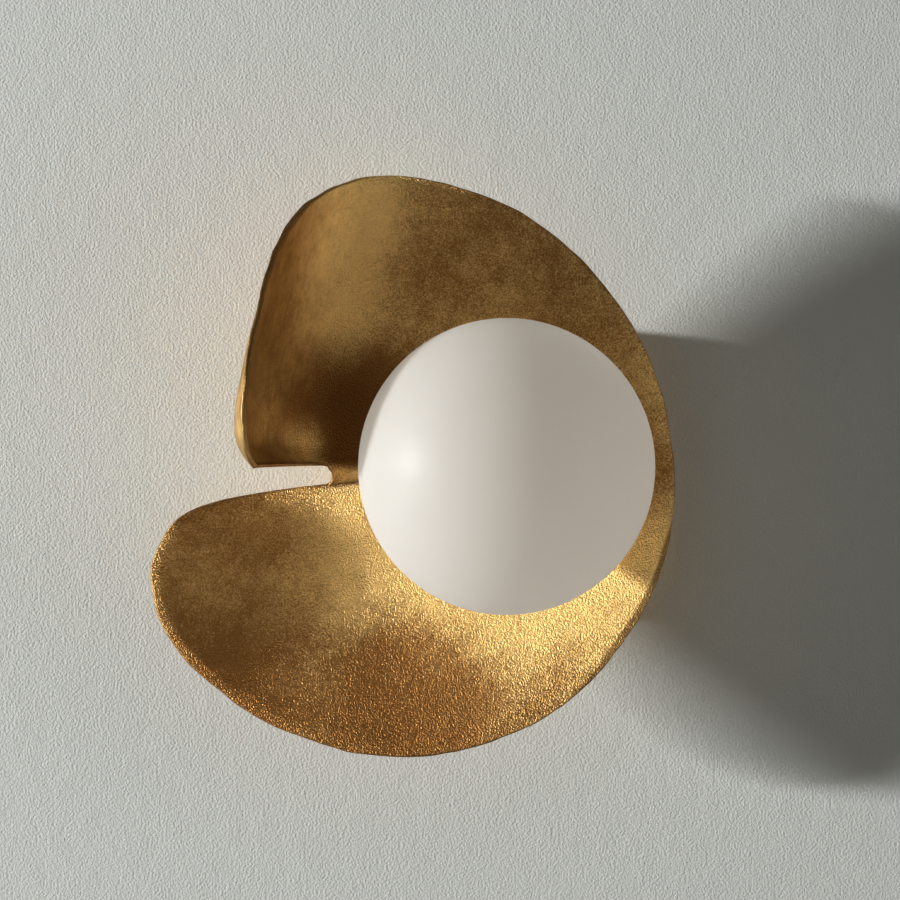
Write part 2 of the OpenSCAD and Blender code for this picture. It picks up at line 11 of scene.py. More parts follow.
import bmesh
import bpy
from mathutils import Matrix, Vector

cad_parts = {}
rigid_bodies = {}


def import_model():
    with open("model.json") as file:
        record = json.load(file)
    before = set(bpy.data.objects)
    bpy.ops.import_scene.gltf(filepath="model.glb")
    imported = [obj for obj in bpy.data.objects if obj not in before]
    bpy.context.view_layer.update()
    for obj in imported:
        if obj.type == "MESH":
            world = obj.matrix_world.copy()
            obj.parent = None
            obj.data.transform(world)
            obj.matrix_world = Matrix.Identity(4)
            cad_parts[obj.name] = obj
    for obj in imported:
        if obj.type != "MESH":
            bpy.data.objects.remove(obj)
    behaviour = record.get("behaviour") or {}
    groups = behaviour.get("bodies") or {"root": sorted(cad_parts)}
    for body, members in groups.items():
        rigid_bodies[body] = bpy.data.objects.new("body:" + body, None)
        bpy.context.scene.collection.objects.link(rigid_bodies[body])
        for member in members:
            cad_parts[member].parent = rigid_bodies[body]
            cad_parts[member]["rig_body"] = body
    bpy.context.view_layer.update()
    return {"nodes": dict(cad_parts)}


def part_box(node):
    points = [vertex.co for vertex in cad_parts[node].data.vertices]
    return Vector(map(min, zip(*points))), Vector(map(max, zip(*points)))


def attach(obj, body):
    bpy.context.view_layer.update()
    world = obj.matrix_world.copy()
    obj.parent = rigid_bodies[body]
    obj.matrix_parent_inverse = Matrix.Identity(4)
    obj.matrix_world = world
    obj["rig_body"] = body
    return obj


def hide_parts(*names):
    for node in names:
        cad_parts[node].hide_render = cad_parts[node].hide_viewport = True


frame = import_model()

scene = bpy.context.scene
MM = 0.001
print("packed nodes:", len(frame["nodes"]))

# %% [markdown]
# ## The camera
# The photograph was taken straight at the wall from about 1.6 m with a long lens. A camera that
# stands level and square to the wall keeps the globe round and shows the leaf without slant.
# The shift stays at zero, so that every other view of the lamp works with the same camera.

# %%
CAMERA_AWAY = 1.6
CAMERA_X = -0.0242
CAMERA_Z = 0.00706
SENSOR = 36.0
PICTURE = 900
FOCAL_PIXELS = 3520

lens = bpy.data.cameras.new("photo_camera")
lens.sensor_width = SENSOR
lens.lens = FOCAL_PIXELS / PICTURE * SENSOR
lens.clip_start = 0.05
lens.clip_end = 60
camera = bpy.data.objects.new("photo_camera", lens)
camera.location = (CAMERA_X, -CAMERA_AWAY, CAMERA_Z)
camera.rotation_euler = (math.radians(90), 0, 0)
scene.collection.objects.link(camera)
scene.camera = camera
print("lens:", round(lens.lens, 1), "mm")

# %% [markdown]
# ## Writing node trees as sums
# Both a material and a Geometry Nodes tree are nets of small nodes. Adding a Math node for every
# plus sign makes long code, so one small class wraps a socket, and Python's own operators add the
# Math nodes. A second class holds the tree and has one method for every other node: its type, its
# settings, then its socket values or links.

# %%
class Socket:
    """One output of a node, on which sums can be written."""

    def __init__(self, tree, output):
        self.tree = tree
        self.output = output

    def sum(self, operation, *values):
        node = self.tree.nodes.new("ShaderNodeMath")
        node.operation = operation
        for place, value in enumerate(values):
            plug(self.tree, value, node.inputs[place])
        return Socket(self.tree, node.outputs[0])

    def __add__(self, other):
        return self.sum("ADD", self, other)

    def __radd__(self, other):
        return self.sum("ADD", other, self)

    def __sub__(self, other):
        return self.sum("SUBTRACT", self, other)

    def __rsub__(self, other):
        return self.sum("SUBTRACT", other, self)

    def __mul__(self, other):
        return self.sum("MULTIPLY", self, other)

    def __rmul__(self, other):
        return self.sum("MULTIPLY", other, self)

    def __truediv__(self, other):
        return self.sum("DIVIDE", self, other)

    def __rtruediv__(self, other):
        return self.sum("DIVIDE", other, self)

    def __pow__(self, other):
        return self.sum("POWER", self, other)


def plug(tree, value, socket):
    """Links a wrapped output to a socket, or writes a plain value on it."""
    if isinstance(value, Socket):
        tree.links.new(value.output, socket)
    elif value is not None:
        socket.default_value = value


class Tree:
    """A node tree with one method for any node."""

    def __init__(self, tree):
        self.tree = tree

    def add(self, kind, settings=None, inputs=None, out=0):
        node = self.tree.nodes.new(kind)
        for name, value in (settings or {}).items():
            if name == "stops":
                ramp = node.color_ramp.elements
                while len(ramp) < len(value):
                    ramp.new(0.5)
                for stop, (place, colour) in zip(ramp, value):
                    stop.position = place
                    stop.color = colour
            else:
                setattr(node, name, value)
        for name, value in (inputs or {}).items():
            plug(self.tree, value, pick(node.inputs, name))
        return Socket(self.tree, pick(node.outputs, out))

    def blend(self, share, first, second):
        """A colour between two colours."""
        return self.add(
            "ShaderNodeMix",
            {"data_type": "RGBA"},
            {"Factor": share, "A": first, "B": second},
            "Result",
        )

    def smooth(self, value, start, end, low=0.0, high=1.0):
        """Goes smoothly from low to high while value goes from start to end."""
        return self.add(
            "ShaderNodeMapRange",
            {"interpolation_type": "SMOOTHSTEP"},
            {"Value": value, "From Min": start, "From Max": end, "To Min": low, "To Max": high},
        )

    def split(self, vector):
        """The three numbers of a vector."""
        node = self.add("ShaderNodeSeparateXYZ", None, {0: vector}).output.node
        return [Socket(self.tree, node.outputs[i]) for i in range(3)]

    def join(self, x, y, z):
        return self.add("ShaderNodeCombineXYZ", None, {0: x, 1: y, 2: z})


def pick(sockets, name):
    """The socket in use that has this number or name."""
    if isinstance(name, int):
        return sockets[name]
    return next(s for s in sockets if s.name == name and s.enabled)


print("helpers ready")

# %% [markdown]
# ## Turned parts
# The globe, the nipple, the screws, the washer and the connectors are turned bodies: one outline,
# swung round an axis. The Screw or Spin tool could do it, but both leave a seam and poles to weld.
# Here the rings of vertices are written directly, a point on the axis becomes one pole vertex, and
# so the body is closed from the start.

# %%
ON_AXIS = 1e-7
SHARP_CORNER = 40


def turned(name, outline, steps, closed=True):
    """A body turned round the Y axis from (radius, y) points in metres."""
    mesh = bmesh.new()
    rings = []
    for radius, y in outline:
        if radius < ON_AXIS:
            rings.append([mesh.verts.new((0.0, y, 0.0))])
            continue
        ring = []
        for step in range(steps):
            turn = 2 * math.pi * step / steps
            ring.append(mesh.verts.new((radius * math.cos(turn), y, radius * math.sin(turn))))
        rings.append(ring)
    pairs = list(zip(rings, rings[1:]))
    if closed:
        pairs.append((rings[-1], rings[0]))
    for first, second in pairs:
        for step in range(steps):
            following = (step + 1) % steps
            if len(first) == 1 and len(second) == 1:
                break
            if len(first) == 1:
                mesh.faces.new((first[0], second[step], second[following]))
            elif len(second) == 1:
                mesh.faces.new((first[step], second[0], first[following]))
            else:
                mesh.faces.new((first[step], second[step], second[following], first[following]))
    bmesh.ops.recalc_face_normals(mesh, faces=mesh.faces)
    return finished(name, mesh)


def finished(name, mesh, sharp=SHARP_CORNER):
    """Turns a bmesh into an object at the origin with smooth faces and sharp corners."""
    data = bpy.data.meshes.new(name)
    mesh.to_mesh(data)
    mesh.free()
    data.shade_smooth()
    data.set_sharp_from_angle(angle=math.radians(sharp))
    piece = bpy.data.objects.new(name, data)
    scene.collection.objects.link(piece)
    return piece


def arc(centre, radius, start, end, steps):
    """Points (radius, y) on part of a circle, with angles in degrees from the radius direction."""
    points = []
    for step in range(steps + 1):
        turn = math.radians(start + (end - start) * step / steps)
        points.append((centre[0] + radius * math.cos(turn), centre[1] + radius * math.sin(turn)))
    return points


print("lathe ready")

# %% [markdown]
# ## Finding the leaf's edges
# The leaf is one cast sheet, about 2 mm thick, rolled forward on the left and slit at its root. Its
# solid is already exact, so the piece starts from a copy of it. The copy's loose triangles are
# merged and joined back into the rows of four-sided faces that it was drawn with, because
# subdivision makes smooth surfaces from quads and lumpy ones from triangles.

# %%
SAME_POINT = 2e-6
SAME_FACE = math.radians(50)
ANY_SHAPE = math.radians(180)


def merged(node):
    """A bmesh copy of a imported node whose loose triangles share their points."""
    mesh = bmesh.new()
    mesh.from_mesh(frame["nodes"][node].data)
    bmesh.ops.remove_doubles(mesh, verts=mesh.verts, dist=SAME_POINT)
    return mesh


def welded_copy(node, name):
    """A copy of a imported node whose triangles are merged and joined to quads."""
    mesh = merged(node)
    bmesh.ops.join_triangles(
        mesh,
        faces=mesh.faces,
        angle_face_threshold=SAME_FACE,
        angle_shape_threshold=ANY_SHAPE,
    )
    for layer in list(mesh.loops.layers.uv):
        mesh.loops.layers.uv.remove(layer)
    quads = sum(len(face.verts) == 4 for face in mesh.faces)
    print(node, "faces:", len(mesh.faces), "of which quads:", quads)
    return finished(name, mesh)


leaf_drawn = welded_copy("leaf_shell", "leaf_drawn")

# %% [markdown]
# ## The sizes of the forged sheet
# On the real leaf no edge is straight and no face is flat: the cast sheet was hammered and filed by
# hand. Moving vertices in Python would fix that look for one size. A Geometry Nodes tree keeps it as
# a rule with named sizes, which are all in one table: how far the rim wanders, how deep the dents
# are, and how much the dish is cupped, the lobe lifted and the free rim rolled back. Each tree in
# this lesson starts with inputs from such a table and ends with the same two nodes, so that part is
# written once. The kind of an input follows from its value: a whole number, a length, three lengths,
# or nothing yet for a material.

# %%
LEAF_SEAT = 0.040
LOBE_LEAN = 0.71
WING_LEAN = 0.22
SIZES = {
    "Rounding": 2,
    "Corner": 0.72,
    "Seat": LEAF_SEAT,
    "Rim width": 14 * MM,
    "Rim wander": 0.9 * MM,
    "Wander length": 24 * MM,
    "Dent depth": 0.55 * MM,
    "Dent length": 17 * MM,
    "Cup": 2.4 * MM,
    "Lobe lift": 4.2 * MM,
    "Roll": 0.9 * MM,
    "Roll width": 6 * MM,
    "Finish": None,
}


KINDS = {
    int: "NodeSocketInt",
    float: "NodeSocketFloat",
    tuple: "NodeSocketVector",
    type(None): "NodeSocketMaterial",
}


def node_group(name, sizes):
    """A Geometry Nodes group with one mesh in, one out and an input for each named size."""
    group = bpy.data.node_groups.new(name, "GeometryNodeTree")
    group.interface.new_socket("Mesh", in_out="OUTPUT", socket_type="NodeSocketGeometry")
    group.interface.new_socket("Mesh", in_out="INPUT", socket_type="NodeSocketGeometry")
    for label, value in sizes.items():
        kind = KINDS[type(value)]
        item = group.interface.new_socket(label, in_out="INPUT", socket_type=kind)
        if value is not None:
            item.default_value = value
    tree = Tree(group)
    start = group.nodes.new("NodeGroupInput")
    inputs = {s.name: Socket(group, s) for s in start.outputs if s.name}
    return tree, inputs


def end_group(tree, mesh, finish):
    """Every tree ends the same way: real meshes, one material, the output."""
    real = tree.add("GeometryNodeRealizeInstances", None, {"Geometry": mesh})
    done = tree.add("GeometryNodeSetMaterial", None, {"Geometry": real, "Material": finish})
    last = tree.tree.nodes.new("NodeGroupOutput")
    plug(tree.tree, done, last.inputs[0])
    return tree.tree


print("sizes of the sheet:", len(SIZES))

# %% [markdown]
# ## The forged sheet as a node tree
# A smith works in stages, and so does this tree. The corners between the faces are found by their
# angle, and outside the seat they are the rim. The sheet is rounded by subdivision with a crease on
# its corners, the rim is pulled in and out a little, and the faces are dented along their normals.
# At the end the free parts lean forward or back: the dish is cupped beside the globe, the lobe's
# tip is lifted, and the last few millimetres at the rim roll towards the wall. The wing keeps its
# own fold. Each point also stores its distance from the rim, which the finish reads later.

# %%
CORNER_ANGLE = math.radians(42)
SEAT_BLEND = 0.012


def rim_and_corners(tree, size, away):
    """The sheet's sharp corners, and the edges of its free rim as a mesh of their own."""
    bend = tree.add("GeometryNodeInputMeshEdgeAngle")
    corner = bend.sum("GREATER_THAN", bend, CORNER_ANGLE)
    outside = away.sum("GREATER_THAN", away, size["Seat"])
    rim = tree.add(
        "GeometryNodeSeparateGeometry",
        {"domain": "EDGE"},
        {"Geometry": size["Mesh"], "Selection": corner * outside},
    )
    return corner, rim


def soft_waves(tree, place, length, detail, rough=0.5, seed=None):
    """Random waves in space; a seed picks another set of them."""
    dimensions = "3D" if seed is None else "4D"
    inputs = {"Vector": place, "Scale": 1 / length, "Detail": detail, "Roughness": rough}
    if seed is not None:
        inputs["W"] = seed
    return tree.add("ShaderNodeTexNoise", {"noise_dimensions": dimensions}, inputs, "Fac")


def moved(tree, mesh, offset):
    return tree.add("GeometryNodeSetPosition", None, {"Geometry": mesh, "Offset": offset})


def lean_of_dish(tree, size, place, away, near):
    """How far each point outside the wing goes towards the wall, or with a minus forward."""
    x, y, z = tree.split(place)
    on_wing = tree.smooth(x, -0.048, -0.070) * tree.smooth(z, -0.020, 0.0)
    dish = 1 - on_wing
    cup = tree.smooth(away, 0.046, 0.080) * tree.smooth(x, 0.012, 0.068) * size["Cup"]
    lobe = tree.smooth(x + z * LOBE_LEAN, -0.095, -0.170) * tree.smooth(z, -0.004, -0.030)
    lift = lobe * size["Lobe lift"]
    roll = tree.smooth(near, 0.0, size["Roll width"], 1.0, 0.0) ** 1.5 * size["Roll"]
    return (roll - cup - lift) * dish


def forged_sheet():
    tree, size = node_group("forged_sheet", SIZES)
    place = tree.add("GeometryNodeInputPosition")
    x, y, z = tree.split(place)
    away = (x * x + z * z) ** 0.5
    corner, rim = rim_and_corners(tree, size, away)
    rounded = tree.add(
        "GeometryNodeSubdivisionSurface",
        {"boundary_smooth": "ALL"},
        {"Mesh": size["Mesh"], "Level": size["Rounding"], "Edge Crease": corner * size["Corner"]},
    )
    near = tree.add("GeometryNodeProximity", {"target_element": "EDGES"}, {0: rim}, "Distance")
    edge = tree.smooth(near, 0.0, size["Rim width"], 1.0, 0.0)
    free = tree.smooth(away, size["Seat"], size["Seat"] + SEAT_BLEND)
    waves = soft_waves(tree, place, size["Wander length"], 2.0, 0.6)
    swell = soft_waves(tree, place, size["Wander length"], 2.0, seed=3.7)
    inward = size["Rim wander"] * edge * free * tree.smooth(waves, 0.3, 0.7) / away
    out_of_wall = (swell - 0.5) * size["Rim wander"] * edge * free * 2
    shift = tree.join(x * inward * -1, out_of_wall, z * inward * -1)
    ragged = moved(tree, rounded, shift)
    hammer = soft_waves(tree, place, size["Dent length"], 2.5, 0.55)
    depth = (hammer - 0.5) * size["Dent depth"] * free * (1 - edge)
    normal = tree.add("GeometryNodeInputNormal")
    dent = tree.add("ShaderNodeVectorMath", {"operation": "SCALE"}, {0: normal, "Scale": depth})
    dented = moved(tree, ragged, dent)
    lean = lean_of_dish(tree, size, place, away, near)
    formed = moved(tree, dented, tree.join(0.0, lean * free, 0.0))
    marked = tree.add(
        "GeometryNodeStoreNamedAttribute",
        {"data_type": "FLOAT", "domain": "POINT"},
        {"Geometry": formed, "Name": "rim_near", "Value": near},
    )
    smooth = tree.add("GeometryNodeSetShadeSmooth", None, {"Geometry": marked, "Shade Smooth": True})
    return end_group(tree, smooth, size["Finish"])


def grow(piece, group, values, name):
    """Runs a tree on an object, keeps the result as a plain mesh, and drops the modifier."""
    modifier = piece.modifiers.new(group.name, "NODES")
    modifier.node_group = group
    for item in group.interface.items_tree:
        if item.item_type == "SOCKET" and item.in_out == "INPUT" and item.name in values:
            modifier[item.identifier] = values[item.name]
    ready = piece.evaluated_get(bpy.context.evaluated_depsgraph_get())
    mesh = bpy.data.meshes.new_from_object(ready)
    mesh.name = name
    piece.modifiers.clear()
    made = bpy.data.objects.new(name, mesh)
    scene.collection.objects.link(made)
    bpy.data.objects.remove(piece)
    mesh.calc_loop_triangles()
    print(name, "triangles:", len(mesh.loop_triangles))
    return made

# %% [markdown]
# ## Materials that are worked out in place
# A picture of brass would slide over the fold and end in a seam. So every pattern in this lesson is
# worked out from each point's own place on the piece. These helpers make a material, mix a second
# shader over its first one, and give noise of a stated length, streaks and a bump.

# %%
def material(name, base=(0.8, 0.8, 0.8, 1), **constants):
    """A material with its shader, its tree and the numbers that are the same all over."""
    made = bpy.data.materials.new(name)
    made.use_nodes = True
    tree = Tree(made.node_tree)
    shader = made.node_tree.nodes["Principled BSDF"]
    shader.inputs["Base Color"].default_value = base
    for label, value in constants.items():
        shader.inputs[label.replace("_", " ")].default_value = value
    return made, tree, shader


def show_mixed(tree, share, first, second):
    """Makes a share of the second shader over the first one the material's surface."""
    mixed = tree.tree.nodes.new("ShaderNodeMixShader")
    plug(tree.tree, share, mixed.inputs[0])
    tree.tree.links.new(first.outputs[0], mixed.inputs[1])
    tree.tree.links.new(second.output, mixed.inputs[2])
    last = tree.tree.nodes["Material Output"]
    tree.tree.links.new(mixed.outputs[0], last.inputs["Surface"])


def finish_with(tree, shader, **patterns):
    """Links patterns to the sockets of the shader that they are named after."""
    for label, value in patterns.items():
        plug(tree.tree, value, shader.inputs[label.replace("_", " ")])


def own_place(tree):
    return tree.add("ShaderNodeTexCoord", None, None, "Object")


def noise(tree, place, length, detail, rough, seed):
    """Soft random pattern whose blotches are about that many metres long."""
    inputs = {"Vector": place, "W": seed, "Scale": 1 / length, "Detail": detail, "Roughness": rough}
    return tree.add("ShaderNodeTexNoise", {"noise_dimensions": "4D"}, inputs, "Fac")


def stretched(tree, place, scale):
    """The place squeezed along its axes, for streaks and brushing."""
    return tree.add("ShaderNodeMapping", None, {"Vector": place, "Scale": scale})


def bump(tree, height, distance, strength):
    """A normal that leans with the height of a pattern."""
    inputs = {"Height": height, "Distance": distance, "Strength": strength}
    return tree.add("ShaderNodeBump", None, inputs)


print("material helpers ready")

# %% [markdown]
# ## Painted shade and painted light on the leaf
# The leaf's colour isn't one gold. Brown is painted as shade deep in the fold beside the globe, on
# the upper dish, on the lobe, in one spot below the globe, on the lower dish and on the back of the
# wing's top. Gold is painted as light on the valley, on the foot of the wing and where the light falls
# on the lower dish; the wing alone gets a little gold from its real polish. Each zone is a mask from 0
# to 1, made from the point's own x and z in metres, and its border is as soft as the distance between
# the two ends of its step. The shares say how much painted shade browns the brass, and a minus sign
# paints light on it.

# %%
# Positive shares are painted shade and negative ones painted light; only the wing's small share is its
# real polish.
SHADE_LIGHT_AND_POLISH_SHARES = {
    "lobe_side": 0.09,
    "upper": 0.15,
    "deep": 0.30,
    "under": 0.11,
    "spot": 0.14,
    "handled": -0.09,
    "wing": -0.01,
    "valley": -0.12,
    "foot": -0.06,
    "outer_face": 0.36,
}


def leaf_zones(tree, x, z, clouds):
    """The masks of the leaf's zones, by name."""
    smooth = tree.smooth
    across = x - z * WING_LEAN
    diagonal = x + z * LOBE_LEAN
    above_slit = smooth(z, -0.006, 0.002)
    # The valley, the wing's foot and the lit lower dish are painted light; the lobe, the upper dish,
    # the fold, the spot below the globe, the lower dish and the back of the wing's top are painted
    # shade.
    zone = {"wing": smooth(across, -0.084, -0.102) * above_slit}
    valley = smooth(across, -0.060, -0.086) * smooth(across, -0.118, -0.096)
    zone["valley"] = valley * smooth(z, 0.030, 0.062)
    lobe_side = smooth(diagonal + (clouds - 0.5) * 0.05, -0.135, -0.085, 1.0, 0.0)
    zone["lobe_side"] = lobe_side * smooth(z, 0.004, -0.012)
    zone["upper"] = smooth(across, -0.088, -0.052) * smooth(z + x * 0.4, -0.014, 0.020)
    zone["foot"] = smooth(z, 0.028, 0.008) * smooth(x, -0.072, -0.090) * above_slit
    fold = ((x + 0.064) ** 2 + ((z - 0.014) * 0.75) ** 2) ** 0.5
    deep = smooth(fold, 0.006, 0.043, 1.0, 0.0) * smooth(z, -0.004, 0.004)
    zone["deep"] = deep * (1 - zone["foot"])
    from_spot = ((x + 0.040) ** 2 + (z + 0.094) ** 2) ** 0.5
    zone["spot"] = smooth(from_spot, 0.012, 0.048, 1.0, 0.0)
    handled = smooth(diagonal, -0.100, -0.075) * smooth(z, -0.004, -0.020)
    zone["handled"] = handled * smooth(z, -0.110, -0.062) * (1 - zone["spot"] * 0.8)
    zone["under"] = smooth(z, -0.050, -0.100) * smooth(x, 0.060, 0.020)
    facing = tree.split(tree.add("ShaderNodeNewGeometry", None, None, "Normal"))[0]
    zone["inner_face"] = smooth(facing, -0.6, -0.2)
    zone["outer_face"] = (1 - zone["inner_face"]) * smooth(z, 0.048, 0.082)
    return zone


print("zones with a share of patina:", ", ".join(SHADE_LIGHT_AND_POLISH_SHARES))

# %% [markdown]
# ## Cast brass with patina, painted shade and painted light
# Inside a zone the change from brown to gold follows the skin: wide clouds, middle mottling and
# grain of less than a millimetre, and on the wing, which is polished, fine upright streaks instead.
# The same grain gives the height for the bump, so that a bright speck is also a high one. Along the
# rim a darker brown is painted shade, and how far it reaches is told by the distance from the rim that
# the tree stored.

# %%
# The first brown is the brass's own patina and also the painted shade; the gold is rubbed brass and
# also the painted light. The near-black brown is painted shade in the fold, and the edge brown is
# painted shade along the rim.
PATINA_AND_SHADE_BROWN = (0.29, 0.135, 0.038, 1)
RUBBED_AND_LIT_GOLD = (1.0, 0.68, 0.26, 1)
FOLD_SHADE_BROWN = (0.12, 0.050, 0.012, 1)
RIM_SHADE_BROWN = (0.20, 0.10, 0.03, 1)
RIM_SHADE_GROWTH = 0.0024
GRAIN_HEIGHT = 0.0014


def leaf_patterns(tree, place):
    """The patterns of the cast skin, from wide to fine."""
    return {
        "clouds": noise(tree, place, 0.060, 3.0, 0.6, 1.3),
        "mottle": noise(tree, place, 0.0065, 4.0, 0.65, 2.1),
        "pebbles": noise(tree, place, 0.00072, 1.5, 0.5, 4.4),
        "dust": noise(tree, place, 0.0004, 1.0, 0.5, 6.6),
        "streaks": noise(tree, stretched(tree, place, (1.0, 1.0, 0.04)), 0.0016, 3.0, 0.55, 5.2),
    }


def leaf_colour(tree, x, z, zone, skin, rough_skin):
    """Brown and gold by zone and by grain, with painted shade in the fold and along the rim."""
    shade_light_and_polish = 0
    for name, share in SHADE_LIGHT_AND_POLISH_SHARES.items():
        shade_light_and_polish = zone[name] * share + shade_light_and_polish
    specks = skin["pebbles"] * rough_skin * (zone["upper"] * 0.08 + 0.42)
    polish = skin["streaks"] * 0.14 * zone["wing"]
    rubbed = skin["clouds"] * 0.45 + skin["mottle"] * 0.22 + specks + polish
    # The gold share mixes real wear from the skin with the painted shade and painted light of the
    # zones.
    gold_share = tree.smooth(rubbed - shade_light_and_polish + 0.05, 0.36, 0.71)
    colour = tree.blend(gold_share, PATINA_AND_SHADE_BROWN, RUBBED_AND_LIT_GOLD)
    # Near-black painted shade deep in the fold.
    colour = tree.blend(zone["deep"] * 0.85, colour, FOLD_SHADE_BROWN)
    # A darker brown along the rim is painted shade, reaching further on the wing's left rim and on the
    # dish's lower right rim.
    edge = tree.add("ShaderNodeAttribute", {"attribute_name": "rim_near"}, None, "Fac")
    left_rim_shade = tree.smooth(x, -0.076, -0.098) * tree.smooth(z, 0.0, 0.060) * zone["inner_face"]
    right_rim_shade = tree.smooth(x, 0.020, 0.056) * tree.smooth(z, -0.020, -0.040)
    rim_shade_reach = edge - (left_rim_shade + right_rim_shade) * RIM_SHADE_GROWTH
    rim_shade = tree.smooth(rim_shade_reach, 0.0002, 0.0018, 1.0, 0.0)
    return tree.blend(rim_shade * 0.8, colour, RIM_SHADE_BROWN)


def leaf_finish():
    made, tree, shader = material("cast_brass", Metallic=1.0)
    place = own_place(tree)
    x, y, z = tree.split(place)
    skin = leaf_patterns(tree, place)
    zone = leaf_zones(tree, x, z, skin["clouds"])
    rough_skin = 1 - zone["wing"] * 0.8
    colour = leaf_colour(tree, x, z, zone, skin, rough_skin)
    grain = rough_skin * (1 - zone["upper"] * 0.2)
    gloss = tree.smooth(skin["mottle"] * 0.6 + skin["dust"] * 0.4, 0.3, 0.7, 0.36, 0.48)
    gloss = gloss + grain * zone["handled"] * 0.12
    streaks = skin["streaks"] * 0.16 * zone["wing"]
    height = skin["pebbles"] * grain + skin["dust"] * 0.2 + streaks + skin["mottle"] * 0.3
    normal = bump(tree, height, GRAIN_HEIGHT, 0.9)
    finish_with(tree, shader, Base_Color=colour, Roughness=gloss, Normal=normal)
    return made


leaf = grow(leaf_drawn, forged_sheet(), {"Finish": leaf_finish()}, "leaf")
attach(leaf, "fixture")
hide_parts("leaf_shell")

# %% [markdown]
# ## The opal globe
# Opal globes are blown: a round body, a short neck that is pressed while hot, and inside the neck a
# coarse thread for the collar. A sphere with a cylinder on it would show a crease, so one outline
# goes round the outer skin, over the lip and back along the inner skin. The sizes are read from
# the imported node, so the globe can't drift away from its collar.

# %%
low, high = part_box("glass_globe")
GLOBE_R = (high.x - low.x) / 2
GLOBE_Y = low.y + GLOBE_R
MOUTH_Y = high.y
NECK_BORE_R = 19.9 * MM
NECK_R = 23.0 * MM
GLASS = 3.0 * MM
NECK_BEND = 4.0 * MM


def globe_outline():
    """Outer skin from the front pole to the lip, then the inner skin back to the front."""
    bend_x = NECK_R + NECK_BEND
    rise = math.sqrt((GLOBE_R + NECK_BEND) ** 2 - bend_x**2)
    bend_y = GLOBE_Y + rise
    meet = math.degrees(math.atan2(rise, bend_x))
    outer = arc((0, GLOBE_Y), GLOBE_R, -90, meet, 72)
    outer += arc((bend_x, bend_y), NECK_BEND, 180 + meet, 180, 6)[1:]
    lip = (NECK_R - NECK_BORE_R) / 2
    middle = NECK_BORE_R + lip
    outer += arc((middle, MOUTH_Y - lip), lip, 0, 180, 10)
    inner_r = GLOBE_R - GLASS
    inner_rise = math.sqrt(inner_r**2 - NECK_BORE_R**2)
    inside = math.degrees(math.atan2(inner_rise, NECK_BORE_R))
    inner = arc((0, GLOBE_Y), inner_r, inside, -90, 60)
    points = [(max(0.0, r), y) for r, y in outer + inner]
    print("globe outline points:", len(points))
    return points


globe = turned("globe_glass", globe_outline(), steps=128, closed=False)

# %% [markdown]
# ## Opal glass
# Opal glass has a thin white layer in it, which scatters light both ways: the side that faces the
# window is white, and what passes through lights the far side from within, so the globe has no
# black shadow. Scattering inside the volume would be nearest to the real thing and is slow and
# noisy. Here a Translucent shader carries what passes through, mixed over a plain white body, and
# the shares were found by comparing both sides with the photograph. The surface is satin, not
# polished, and its faint clouds keep it from looking like plastic.

# %%
THROUGH = 0.78
PASSED_LIGHT = (0.99, 0.975, 0.948, 1)


def opal_glass():
    made, tree, shader = material("opal_glass", (0.95, 0.955, 0.96, 1), Roughness=0.42, IOR=1.5)
    place = own_place(tree)
    milk = noise(tree, place, 0.05, 2.0, 0.5, 7.0)
    colour = tree.blend(tree.smooth(milk, 0.3, 0.7), (0.93, 0.935, 0.94, 1), (0.96, 0.965, 0.97, 1))
    haze = noise(tree, place, 0.02, 3.0, 0.6, 9.0)
    satin = tree.smooth(haze, 0.3, 0.7, 0.38, 0.46)
    finish_with(tree, shader, Base_Color=colour, Roughness=satin)
    passed = tree.add("ShaderNodeBsdfTranslucent", None, {"Color": PASSED_LIGHT})
    show_mixed(tree, THROUGH, shader, passed)
    return made


globe.data.materials.append(opal_glass())
print("light through the glass:", THROUGH)
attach(globe, "globe")
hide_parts("glass_globe")

# %% [markdown]
# ## Pieces that stand for imported nodes
# Each new piece rides on the same body as the node it stands for, hides that node and gets the finish
# it is given. The body is read from the imported node, so a piece can't be put on the wrong body by a
# slip.

# %%
def stand_in(piece, node, finish):
    """The piece takes the node's place and body, and gets its finish."""
    packed = frame["nodes"][node]
    piece.data.materials.clear()
    piece.data.materials.append(finish)
    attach(piece, packed["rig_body"])
    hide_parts(node)
    piece.data.calc_loop_triangles()
    print(piece.name, "stands for", node, "with", len(piece.data.loop_triangles), "triangles")


def dress(node, finish):
    """A node whose shape is right keeps it and only gets the finish."""
    frame["nodes"][node].material_slots[0].material = finish
    print(node, "keeps its shape")


# %% [markdown]
# ## Spun, turned and plated metal
# The canopy is spun from a brass disk: the tool leaves rings round the axis. Turned parts have finer
# rings. The strap is stamped steel with a thin zinc coat, cloudy and a little bluish. A Mapping node
# can't bend streaks into rings, so the place is first turned into distance from the axis and depth.

# %%
LATHE_DEPTH = 0.18 * MM
ZINC_DEPTH = 0.12 * MM
CRYSTALS_PER_METRE = 900.0


def rings(tree, place, length, seed):
    """Noise that changes across the radius and along Y, and hardly round the axis."""
    x, y, z = tree.split(place)
    around = tree.join((x * x + z * z) ** 0.5, y, (x + z) * 0.02)
    return noise(tree, around, length, 3.0, 0.6, seed)


